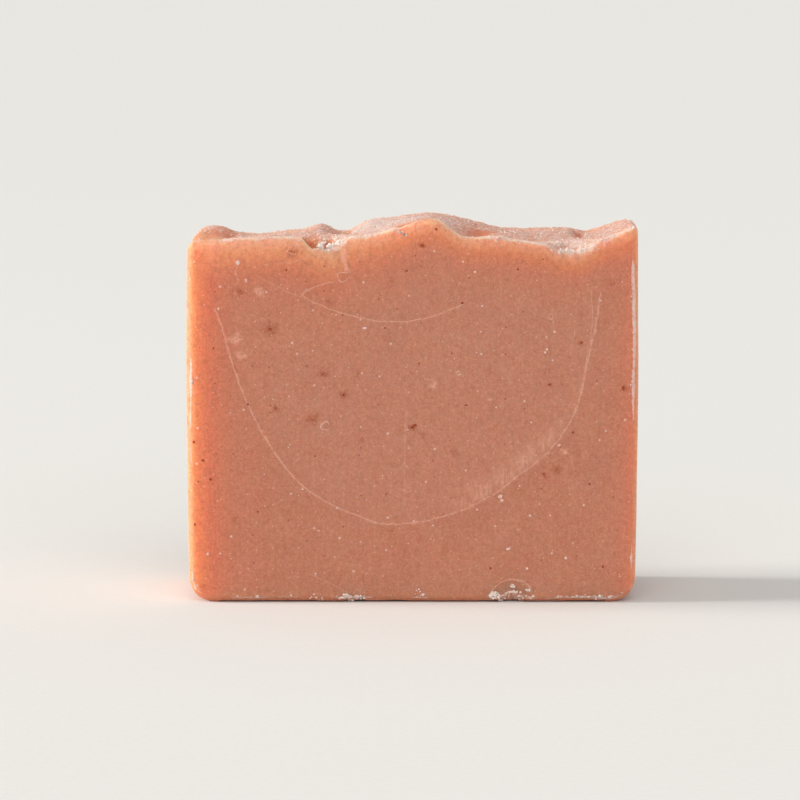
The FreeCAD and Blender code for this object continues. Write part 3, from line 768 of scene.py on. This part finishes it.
def soap_material(colours):
    """Cold-process soap, poured and wire-cut: waxy and clouded, so light bleeds warm through its edges.
    Its base is madder clay with fine white specks of soda, brown spice, faint pour lines and upright
    wire streaks."""
    material, add = new_material("cold_process_soap")
    place = object_millimetres(add)
    skin = SimpleNamespace(add=add, place=place, field={}, pattern={})
    skin.flat_place = add("ShaderNodeUVMap", uv_map="skin")
    for name in FIELDS:
        settings = {"attribute_name": name, "attribute_type": "GEOMETRY"}
        skin.field[name] = add("ShaderNodeAttribute", output="Fac", **settings)
    for name, (size, detail, rough) in PATTERNS.items():
        values = {"Vector": place, "Scale": 1 / size, "Detail": detail, "Roughness": rough}
        skin.pattern[name] = add(NOISE, values)
    skin.even_grain = add(RANGE, skin.pattern["grain"], 0.3, 0.7, -0.5, 0.5)
    skin.patchy = add(RANGE, skin.pattern["breaks"], 0.36, 0.62, 0.2, 1.0)

    clay, streaks = clay_colour(skin, colours)
    stain, smudge, spice, white = speck_marks(skin)
    line, step, pale = line_marks(skin, smudge)
    crumbled, powder = powder_marks(skin)
    coats = (
        (stain, 1.0, colours.stain),
        (spice, 0.7, colours.spice),
        (white, 0.60, colours.ash),
        (pale, 1.0, colours.soap_rind),
        (crumbled, 1.0, colours.soap_rind),
        (powder, 0.84, colours.ash),
    )
    colour = coated(add, clay, coats)
    powder = add(MATH, powder, crumbled, operation="MAXIMUM")

    # Height in millimetres: grain, streaks, lines with a step up to their inside, specks, and the
    # powder's own grit.
    gritty = add(MATH, powder, 0.85, 0.15, operation="MULTIPLY_ADD")
    grit = add(MATH, skin.pattern["grit"], gritty, operation="MULTIPLY")
    height = 0.0
    rises = ((skin.even_grain, 0.04), (skin.pattern["fleck"], 0.05), (streaks, 0.022), (line, 0.035))
    for value, rise in rises + ((step, 0.03), (white, 0.02), (spice, -0.05), (grit, 0.26)):
        height = add(MATH, value, rise, height, operation="MULTIPLY_ADD")
    dull = add(RANGE, powder, 0.0, 1.0, 0.46, 0.84)
    # Light wanders a few millimetres in wet soap, red the farthest. Where glow is low it is dry and
    # scatters at once.
    values = {
        "Base Color": colour,
        "Roughness": add(MATH, skin.pattern["grain"], 0.12, dull, operation="MULTIPLY_ADD"),
        "IOR": SOAP_IOR,
        "Specular IOR Level": 0.32,
        "Subsurface Weight": skin.field["glow"],
        "Subsurface Radius": (1.0, 0.20, 0.105),
        "Subsurface Scale": 9.0 * MM,
        "Normal": add("ShaderNodeBump", {"Height": height, "Strength": 1.0, "Distance": MM}),
    }
    add("ShaderNodeOutputMaterial", {"Surface": add("ShaderNodeBsdfPrincipled", values)}, output=None)
    return material


def crumb_material(name, colour, shade):
    """Loose dry bits of one thing, too small to glow: each lighter or darker in patches of 0.4 mm, with
    a gritty skin."""
    material, add = new_material(name)
    place = object_millimetres(add)
    patch = add(NOISE, {"Vector": place, "Scale": 1 / 0.4, "Detail": 2.0})
    grit = add(NOISE, {"Vector": place, "Scale": 1 / 0.12, "Detail": 2.0})
    values = {
        "Base Color": coated(add, shade, [(add(RANGE, patch, 0.35, 0.65), 1.0, colour)]),
        "Roughness": 0.72,
        "IOR": SOAP_IOR,
        "Specular IOR Level": 0.3,
        "Normal": add("ShaderNodeBump", {"Height": grit, "Strength": 1.0, "Distance": 0.04 * MM}),
    }
    add("ShaderNodeOutputMaterial", {"Surface": add("ShaderNodeBsdfPrincipled", values)}, output=None)
    return material


def new_geometry_tree(name, inputs):
    """An empty geometry tree with a mesh in and out and further named inputs, the function that adds a
    node to it, and what it is given."""
    tree = bpy.data.node_groups.new(name, "GeometryNodeTree")
    tree.interface.new_socket("Geometry", in_out="INPUT", socket_type="NodeSocketGeometry")
    for label, kind in inputs.items():
        tree.interface.new_socket(label, in_out="INPUT", socket_type="NodeSocket" + kind)
    tree.interface.new_socket("Geometry", in_out="OUTPUT", socket_type="NodeSocketGeometry")
    add = partial(add_node, tree)
    return tree, add, add("NodeGroupInput", output=None).outputs


def end_tree(add, shape, material):
    """Ends a geometry tree with real faces that have their material."""
    real = add("GeometryNodeRealizeInstances", shape)
    shown = add("GeometryNodeSetMaterial", {"Geometry": real, "Material": material})
    add("NodeGroupOutput", shown, output=None)


def grown(name, mesh, tree, values):
    """The plain mesh object that a geometry tree makes from a mesh, kept inside the solid's box."""
    piece = new_object(name, mesh)
    modifier = piece.modifiers.new(name, "NODES")
    modifier.node_group = tree
    for item in tree.interface.items_tree:
        if item.in_out == "INPUT" and item.name in values:
            modifier[item.identifier] = values[item.name]
    settled = bpy.data.meshes.new_from_object(piece.evaluated_get(bpy.context.evaluated_depsgraph_get()))
    piece.modifiers.clear()
    piece.data = settled
    settled.name = name
    if not len(settled.polygons):
        raise RuntimeError(f"{name} grew nothing")
    places = np.empty(3 * len(settled.vertices), np.float32)
    settled.vertices.foreach_get("co", places)
    places = np.clip(places.reshape(-1, 3), LOW * MM, HIGH * MM)
    settled.vertices.foreach_set("co", places.ravel())
    settled.shade_smooth()
    dress(piece)
    return piece


def crumb_shapes(add, count, detail):
    """Instances of a few lumps of radius 1, each knocked out of round by its own noise."""
    lumps = []
    for i in range(count):
        position = add("GeometryNodeInputPosition")
        shifted = add(VECTOR, position, (7.3 * i, 1.9 * i, 0), operation="ADD")
        knock = add(MATH, add(NOISE, {"Vector": shifted, "Scale": 0.9}), 1.7, -0.85, operation="MULTIPLY_ADD")
        offset = add(VECTOR, {0: position, "Scale": knock}, operation="SCALE")
        ball = add("GeometryNodeMeshIcoSphere", {"Radius": 1.0, "Subdivisions": detail})
        lump = add("GeometryNodeSetPosition", {"Geometry": ball, "Offset": offset})
        lumps.append(add("GeometryNodeGeometryToInstance", lump))
    return add("GeometryNodeJoinGeometry", lumps)


def strewn_tree():
    """Crumbs strewn over a mesh as thick as its field called crumbs says."""
    inputs = {"Density": "Float", "Size": "Float", "Seed": "Int", "Material": "Material"}
    tree, add, given = new_geometry_tree("strewn_crumbs", inputs)
    crumbs = add("GeometryNodeInputNamedAttribute", {"Name": "crumbs"}, data_type="FLOAT")
    fine = add("GeometryNodeInputNamedAttribute", {"Name": "fine"}, data_type="FLOAT")
    density = add(MATH, crumbs, given["Density"], operation="MULTIPLY")
    values = {"Mesh": given["Geometry"], "Density": density, "Seed": given["Seed"]}
    spots = add("GeometryNodeDistributePointsOnFaces", values)
    chance = add("FunctionNodeRandomValue", {2: 0.5, 3: 1.15}, output=1, data_type="FLOAT")
    size = add(MATH, fine, given["Size"], operation="MULTIPLY")
    size = add(MATH, add(MATH, chance, 2.5, operation="POWER"), size, operation="MULTIPLY")
    values = {"Points": spots, "Instance": crumb_shapes(add, 4, 1), "Pick Instance": True, "Scale": size}
    values["Rotation"] = add("FunctionNodeRandomValue", FULL_TURN, data_type="FLOAT_VECTOR")
    end_tree(add, add("GeometryNodeInstanceOnPoints", values), given["Material"])
    return tree


def set_tree():
    """A grain at each point of a mesh, of the point's own size in the field called grain and turned at
    will."""
    tree, add, given = new_geometry_tree("set_grains", {"Turn": "Float", "Material": "Material"})
    size = add("GeometryNodeInputNamedAttribute", {"Name": "grain"}, data_type="FLOAT_VECTOR")
    turn = add("FunctionNodeRandomValue", FULL_TURN, data_type="FLOAT_VECTOR")
    turn = add(VECTOR, {0: turn, "Scale": given["Turn"]}, operation="SCALE")
    values = {"Points": given["Geometry"], "Instance": crumb_shapes(add, 5, 2), "Pick Instance": True}
    values.update({"Rotation": turn, "Scale": size})
    end_tree(add, add("GeometryNodeInstanceOnPoints", values), given["Material"])
    return tree


def ridge_tree():
    """A thin ragged ridge along each line of a mesh, as thick as the line's field called thick says."""
    tree, add, given = new_geometry_tree("pour_ridges", {"Step": "Float", "Material": "Material"})
    path = add("GeometryNodeMeshToCurve", given["Geometry"])
    even = add("GeometryNodeResampleCurve", {"Curve": path, "Length": given["Step"]}, mode="LENGTH")
    place = add("GeometryNodeInputPosition")
    waver = add(NOISE, {"Vector": place, "Scale": 450.0, "Detail": 3.0}, output="Color")
    shift = add(VECTOR, waver, (0.5, 0.5, 0.5), operation="SUBTRACT")
    shift = add(VECTOR, shift, (0.9 * MM, 0.06 * MM, 0.9 * MM), operation="MULTIPLY")
    ragged = add("GeometryNodeSetPosition", {"Geometry": even, "Offset": shift})
    broken = add(NOISE, {"Vector": place, "Scale": 1100.0, "Detail": 3.0, "Roughness": 0.7})
    thick = add("GeometryNodeInputNamedAttribute", {"Name": "thick"}, data_type="FLOAT")
    radius = add(MATH, thick, add(RANGE, broken, 0.36, 0.66, 0.15, 1.25), operation="MULTIPLY")
    rim = add("GeometryNodeCurvePrimitiveCircle", {"Resolution": 6, "Radius": 1.0})
    values = {"Curve": ragged, "Profile Curve": rim, "Scale": radius, "Fill Caps": True}
    end_tree(add, add("GeometryNodeCurveToMesh", values), given["Material"])
    return tree


def bar_surface():
    """The dressed bar's own surface, in millimetres."""
    mesh = bpy.data.objects["cut_bar"].data
    places = np.empty(3 * len(mesh.vertices), np.float32)
    mesh.vertices.foreach_get("co", places)
    points = (places.reshape(-1, 3) / MM).tolist()
    return BVHTree.FromPolygons(points, [tuple(p.vertices) for p in mesh.polygons])


def points_mesh(name, points, sizes):
    """A mesh of bare points in millimetres, each with the size of its grain in metres."""
    mesh = new_mesh(name, points, [])
    field = mesh.attributes.new("grain", "FLOAT_VECTOR", "POINT")
    field.data.foreach_set("vector", (np.asarray(sizes, np.float32) * MM).ravel())
    return mesh


def face_place(surface, across, up):
    """The point of the front cut face at a place."""
    hit = surface.ray_cast(Vector((across, FRONT - 5, up)), Vector((0, 1, 0)))[0]
    if hit is None:
        raise RuntimeError(f"no face at {across}, {up}")
    return np.array(hit)


def clump_points(surface):
    """Crumbs heaped where the bar broke, each on the bar's surface or half a crumb above it."""
    places, sizes = [], []
    for across, in_from_front, up, reach, count, size in CLUMPS:
        numbers = np.arange(count * 5).reshape(count, 5)
        seeds = np.stack([numbers, numbers * 0 + round(abs(across) * 10), numbers * 0 + count], axis=-1)
        chance = cell_hash(seeds, 17)
        heading = 2 * math.pi * chance[:, 0]
        away = reach * np.sqrt(chance[:, 1])
        for angle, gap, depth, lift, scale in zip(heading, away, chance[:, 2], chance[:, 3], chance[:, 4]):
            x, z = across + gap * math.cos(angle), up + 0.7 * gap * math.sin(angle)
            near, normal, _, _ = surface.find_nearest(Vector((x, FRONT + in_from_front * (0.4 + depth), z)))
            half = size * (0.45 + 0.75 * scale**1.5)
            places.append(np.array(near + normal * half * (lift - 0.2)))
            sizes.append((half, half * 0.85, half * 0.9))
    return np.array(places), np.array(sizes)


class SoapSizes(bpy.types.PropertyGroup):
    """Sizes that the dressed bar takes beside its solid's own."""

    crumb_size: FloatProperty(
        name="Crumb",
        description="Half width of the largest strewn crumb",
        default=0.26 * MM,
        subtype="DISTANCE",
        unit="LENGTH",
    )
    crumb_density: FloatProperty(
        name="Crumb density", description="Crumbs to a square metre where they lie thickest", default=1.5e7
    )
    crumb_seed: IntProperty(
        name="Crumb seed", description="Another number strews the crumbs otherwise", default=5
    )


def colour_property(name, description, hex_colour):
    """A colour of the soap as the panel lists it."""
    return FloatVectorProperty(
        name=name, description=description, default=linear(hex_colour), size=4, subtype="COLOR", min=0, max=1
    )


class SoapColours(bpy.types.PropertyGroup):
    """Colours of the soap and what is in it and on it."""

    soap: colour_property("Soap", "Clay pink of the bar", "#ce8e73")
    soap_deep: colour_property("Deep soap", "Clouds where the clay lies thicker", "#c88469")
    soap_pale: colour_property("Pale soap", "Soap inside the great arc", "#d0957d")
    soap_skin: colour_property("Soap skin", "Soap near the walls and the top", "#d4896b")
    # Painted red glow of light scattered in behind the edges.
    soap_red_glow: colour_property("Soap blush", "Painted red glow behind the edges, where light bleeds in", "#e18361")
    # Painted shade and glow in the bare hollows of the top.
    soap_hollow_shade: colour_property("Hollow shade", "Bare soap with painted shade and glow in the deep hollows of the top", "#c96c40")
    soap_rind: colour_property("Soap rind", "Palest dry soap on worn edges and crumbled lips", "#fbcbb3")
    # Painted bounce light on the shaded bevel at the foot.
    soap_foot_bounce: colour_property("Soap foot", "Painted bounce light on the shaded bevel at the foot", "#ee8f69")
    # Painted glow of light bleeding in under the lip and at the lit edges, partly dried soap.
    soap_lip_glow: colour_property("Soap lip", "Painted glow of light under the lip of the top, partly dried soap", "#ecad7e")
    soap_right_lip_glow: colour_property("Soap right lip", "Redder painted glow under the lip's right end", "#e29a66")
    soap_edge_glow: colour_property("Soap edge", "Painted glow of light at the very edges, partly dried soap", "#e5a26d")
    soap_rust: colour_property("Rust flecks", "Redder flecks in the clay", "#c2755a")
    soap_light: colour_property("Light grain", "Paler grain in the clay", "#dea890")
    soap_crumb: colour_property("Soap crumb", "Crumbs with little ash on them", "#e3ab90")
    soap_smear: colour_property("Smeared soap", "Thin ridges and smears that the wire left", "#e6bfa9")
    stain: colour_property("Stain", "Soap stained round a grain of spice", "#ad5733")
    spice: colour_property("Spice", "Brown grains", "#92370f")
    ash: colour_property("Soda ash", "White bloom of soda", "#efe2dc")
    ash_lump: colour_property("Soda lump", "Whitest lumps where the bar broke", "#f8e8dc")


class SOAP_OT_cast_bar(bpy.types.Operator):
    """Cast the bar with its worked top, crumbled lips, chips and planed edges"""

    bl_idname = "soap.cast_bar"
    bl_label = "Cast the Bar"

    def execute(self, context):
        points, quads, sides, ring, top = cast_bar()
        points = wiped(points, quads)
        points, fields, from_cut, from_wall, upward = worked(points, quads, top)
        gap, show = line_field(points)
        pool, smear = pool_field(points)
        rim = rim_field(points, from_wall)
        burr = burr_field(points)
        cut = (from_cut < BEVEL + 0.1) * (1 - upward)
        lip_white = lip_white_field(points)
        lip = np.exp(-(((fields["below_lip"] + from_cut) / 0.45) ** 2)) * lip_white
        patch = np.maximum(0, 0.35 + smooth_noise(points, 2.6, 103))
        ridge = np.exp(-(((rim - BEVEL) / 0.22) ** 2)) * (from_cut < BEVEL + 0.2) * np.maximum(burr - 0.3, 0)
        # Hollows bare of ash, which get painted shade and glow.
        hollow = np.clip(patches(points, SHADED_HOLLOWS), 0, 1) * np.maximum(upward, fields["torn"])
        ridge *= np.where(points[:, 2] < 5, 1.0, 0.2)
        fields["bloom"] *= 1 - hollow
        ash = np.clip(0.33 + patches(points, ASH_DRIFTS), -0.5, 1)
        strewn = upward * (0.06 + 0.25 * np.maximum(ash - 0.45, 0)) * smooth_step(-0.2, 0.1, ash)
        crumbs = np.clip(lip * patch + 0.55 * fields["torn"] + 0.9 * ridge + strewn, 0, 1) * (1 - hollow)
        fields.update(ash=ash, hollow=hollow, up=upward, rim=rim, burr=burr, line_gap=gap, line_show=show)
        side = smooth_step(-20, 20, points[:, 0])
        low = np.maximum(2.5 - points[:, 2], 0)
        wall_gap = np.maximum(from_wall, 0) + 0.4 * np.maximum(from_cut - 0.9, 0) * (1 - upward)
        lip_gap = fields["below_lip"] + np.maximum(from_cut - 0.35, 0) * 0.9
        # Gaps that set how far the painted glow and the skin colour reach in from the edges: short on the left,
        # which the lamps light, and long on the right.
        fields["dry_gap"] = wall_gap * (1.15 + 0.95 * side) + 2.4 * side + low
        fields["lip_dry_gap"] = lip_gap * (0.72 + 0.28 * side)
        blush_gap = wall_gap * (1 + 2.6 * side) + 1.5 * side + low
        fields["blush_gap"] = np.minimum(blush_gap, lip_gap * (0.85 + 0.75 * side))
        fields["lip_gap"] = lip_gap
        fields["side"] = side
        # Painted bounce light on the shaded bevel at the foot.
        foot = np.exp(-((np.maximum(points[:, 2], 0) / 1.2) ** 2))
        fields["foot"] = foot
        fields["worn"] = rim + 0.3 * side + low
        dry = 0.74 * upward * (1 - 1.8 * np.maximum(-ash, 0)) + 0.72 * foot + 0.5 * fields["torn"]
        fields["glow"] = np.clip(1 + 0.5 * hollow * (points[:, 0] < -10) - dry, 0.2, 1)
        fields["fine"] = 1 - 0.45 * upward
        fields.update(pool=pool, smear=smear, cut=cut, lip_white=lip_white, crumbs=crumbs)
        mesh = new_mesh("cut_bar", points, quads.tolist() + [ring], fields)
        add_skin_map(mesh, points, sides)
        bar = new_object("cut_bar", mesh)
        bar.data.materials.append(soap_material(context.scene.soap_colours))
        dress(bar, "soap_bar")
        return {"FINISHED"}


class SOAP_OT_strew_crumbs(bpy.types.Operator):
    """Strew crumbs along the lips, in the chips and on the burrs"""

    bl_idname = "soap.strew_crumbs"
    bl_label = "Strew the Crumbs"

    def execute(self, context):
        sizes, colours = context.scene.soap_sizes, context.scene.soap_colours
        values = {"Density": sizes.crumb_density, "Size": sizes.crumb_size, "Seed": sizes.crumb_seed}
        values["Material"] = crumb_material("soda_crumbs", colours.ash, colours.soap_crumb)
        source = bpy.data.objects["cut_bar"].data.copy()
        grown("strewn_crumbs", source, strewn_tree(), values)
        return {"FINISHED"}


class SOAP_OT_set_grains(bpy.types.Operator):
    """Set the grains of ash and spice in the front face, and heap the broken clumps"""

    bl_idname = "soap.set_grains"
    bl_label = "Set the Grains"

    def execute(self, context):
        colours = context.scene.soap_colours
        surface = bar_surface()
        tree = set_tree()
        white = bpy.data.materials["soda_crumbs"]
        bright = crumb_material("soda_lumps", colours.ash_lump, colours.ash)
        brown = crumb_material("ground_spice", colours.spice, colours.stain)
        kinds = (("ash_grains", ASH_GRAINS, white), ("spice_grains", SPICE_GRAINS, brown))
        for name, grains, material in kinds:
            places = [face_place(surface, g[0], g[1]) + (0, 0.03, 0) for g in grains]
            sizes = [(g[2], 0.10, g[3]) for g in grains]
            grown(name, points_mesh(name, places, sizes), tree, {"Turn": 0.0, "Material": material})
        places, sizes = clump_points(surface)
        heaps = points_mesh("broken_clumps", places, sizes)
        grown("broken_clumps", heaps, tree, {"Turn": 1.0, "Material": bright})
        return {"FINISHED"}


class SOAP_OT_raise_ridges(bpy.types.Operator):
    """Raise the thin ridges that the pour, the bubbles and the wire left on the front face"""

    bl_idname = "soap.raise_ridges"
    bl_label = "Raise the Ridges"

    def execute(self, context):
        colours = context.scene.soap_colours
        lines = [(0.070 * strength, rounded(places)) for strength, _, places in FACE_LINES.values()]
        for across, up, radius in BUBBLE_RIMS:
            angles = np.linspace(0.3, 2 * math.pi + 0.1, 20)
            wave = radius * (1 + 0.12 * np.sin(3 * angles + across))
            ring = np.stack([across + wave * np.cos(angles), up + wave * np.sin(angles)], axis=1)
            lines.append((0.15, ring))
        points, edges, thick = [], [], []
        for width, line in lines:
            first = len(points)
            points += [(x, FRONT + 0.05, z) for x, z in line]
            thick += [width * MM * min(1, 0.3 + min(i, len(line) - 1 - i) / 4) for i in range(len(line))]
            edges += [(first + i, first + i + 1) for i in range(len(line) - 1)]
        mesh = bpy.data.meshes.new("pour_ridges")
        mesh.from_pydata((np.array(points) * MM).tolist(), edges, [])
        mesh.attributes.new("thick", "FLOAT", "POINT").data.foreach_set("value", np.array(thick, np.float32))
        pale = crumb_material("smeared_soap", colours.soap_smear, colours.soap_light)
        grown("pour_ridges", mesh, ridge_tree(), {"Step": 0.16 * MM, "Material": pale})
        return {"FINISHED"}


def lip_white_field(points):
    """How white the front lip is along its run: bare at the peak and thin over the left dish."""
    across = points[:, 0]
    bare = 0.9 * np.exp(-(((across - 1.2) / 3.4) ** 4)) + 0.45 * np.exp(-(((across + 36.0) / 3.5) ** 4))
    return 1 + (0.9 * np.exp(-(((across - 31.5) / 4.6) ** 4)) - bare) * (points[:, 1] < 0)


def new_sun(name, towards, spread, strength, colour):
    """Even light from one direction, softened over a spread in degrees."""
    sun = bpy.data.lights.new(name, "SUN")
    sun.angle = math.radians(spread)
    sun.energy = strength
    sun.color = linear(colour)[:3]
    made = bpy.data.objects.new(name, sun)
    made.rotation_euler = (-Vector(towards)).to_track_quat("-Z", "Y").to_euler()
    bpy.context.scene.collection.objects.link(made)
    return made


def new_lamp(name, place, target, size, power, colour):
    """A soft rectangular lamp that looks at a point."""
    lamp = bpy.data.lights.new(name, "AREA")
    lamp.shape = "RECTANGLE"
    lamp.size, lamp.size_y = size
    lamp.energy = power
    lamp.color = linear(colour)[:3]
    made = bpy.data.objects.new(name, lamp)
    made.location = place
    made.visible_camera = False
    made.rotation_euler = (Vector(target) - Vector(place)).to_track_quat("-Z", "Y").to_euler()
    bpy.context.scene.collection.objects.link(made)
    return made


def floor_material():
    """Matt painted board: even and pale, with a fine tooth."""
    material, add = new_material("pale_board")
    tooth = add(NOISE, {"Vector": object_millimetres(add), "Scale": 1 / 1.1, "Detail": 2.0})
    colour = coated(add, linear("#dfdedb"), [(tooth, 1.0, linear("#e5e4e1"))])
    add("ShaderNodeOutputMaterial", {"Surface": add("ShaderNodeBsdfDiffuse", {"Color": colour})}, output=None)
    return material


class SOAP_OT_set_stage(bpy.types.Operator):
    """Lay the floor, hang the lights and place the camera"""

    bl_idname = "soap.set_stage"
    bl_label = "Set the Stage"

    def execute(self, context):
        scene = context.scene
        scene.view_settings.view_transform = "Standard"
        far = 12000.0
        corners = [(-far, -far, 0.0), (far, -far, 0.0), (far, far, 0.0), (-far, far, 0.0)]
        floor = new_object("floor", new_mesh("floor", corners, [(0, 1, 2, 3)]))
        floor.data.materials.append(floor_material())
        new_sun("key_light", (-1.0, 0.0, math.tan(math.radians(27))), 16, 2.55, "#fffdf8")
        new_sun("front_light", (0.1, -1.0, 0.9), 60, 0.9, "#ffffff")
        new_lamp("side_lamp", (-0.9, -0.04, 0.2), (0, 0, 0.04), (0.5, 0.22), 1.6, "#fff1e8")
        world = bpy.data.worlds.new("studio")
        world.use_nodes = True
        world.node_tree.nodes["Background"].inputs["Color"].default_value = linear("#fdfcfb")
        world.node_tree.nodes["Background"].inputs["Strength"].default_value = 0.515
        scene.world = world
        camera = bpy.data.cameras.new("camera")
        camera.lens = 153.0
        camera.sensor_width = 36.0
        camera.clip_end = 20.0
        made = bpy.data.objects.new("camera", camera)
        made.location = (-0.00217, -0.6065, 0.1194)
        made.rotation_euler = (math.pi / 2 - math.atan(475 / 3400), 0, 0)
        scene.collection.objects.link(made)
        scene.camera = made
        return {"FINISHED"}


class SOAP_PT_panel(bpy.types.Panel):
    """Lists the steps, sizes and colours"""

    bl_label = "Soap Bar"
    bl_idname = "SOAP_PT_panel"
    bl_space_type = "VIEW_3D"
    bl_region_type = "UI"
    bl_category = "Soap"

    def draw(self, context):
        column = self.layout.column()
        for step in STEPS:
            column.operator(step.bl_idname)
        for group in (context.scene.soap_sizes, context.scene.soap_colours):
            for name in group.bl_rna.properties.keys():
                if name not in {"rna_type", "name"}:
                    column.prop(group, name)


STEPS = (
    SOAP_OT_cast_bar, SOAP_OT_strew_crumbs, SOAP_OT_set_grains, SOAP_OT_raise_ridges, SOAP_OT_set_stage,
)
CLASSES = (SoapSizes, SoapColours) + STEPS + (SOAP_PT_panel,)


def register():
    for one in CLASSES:
        bpy.utils.register_class(one)
    bpy.types.Scene.soap_sizes = PointerProperty(type=SoapSizes)
    bpy.types.Scene.soap_colours = PointerProperty(type=SoapColours)


def unregister():
    del bpy.types.Scene.soap_colours
    del bpy.types.Scene.soap_sizes
    for one in reversed(CLASSES):
        bpy.utils.unregister_class(one)


def main():
    register()
    bpy.ops.soap.cast_bar()
    bpy.ops.soap.strew_crumbs()
    bpy.ops.soap.set_grains()
    bpy.ops.soap.raise_ridges()
    bpy.ops.soap.set_stage()


if __name__ == "__main__":
    main()
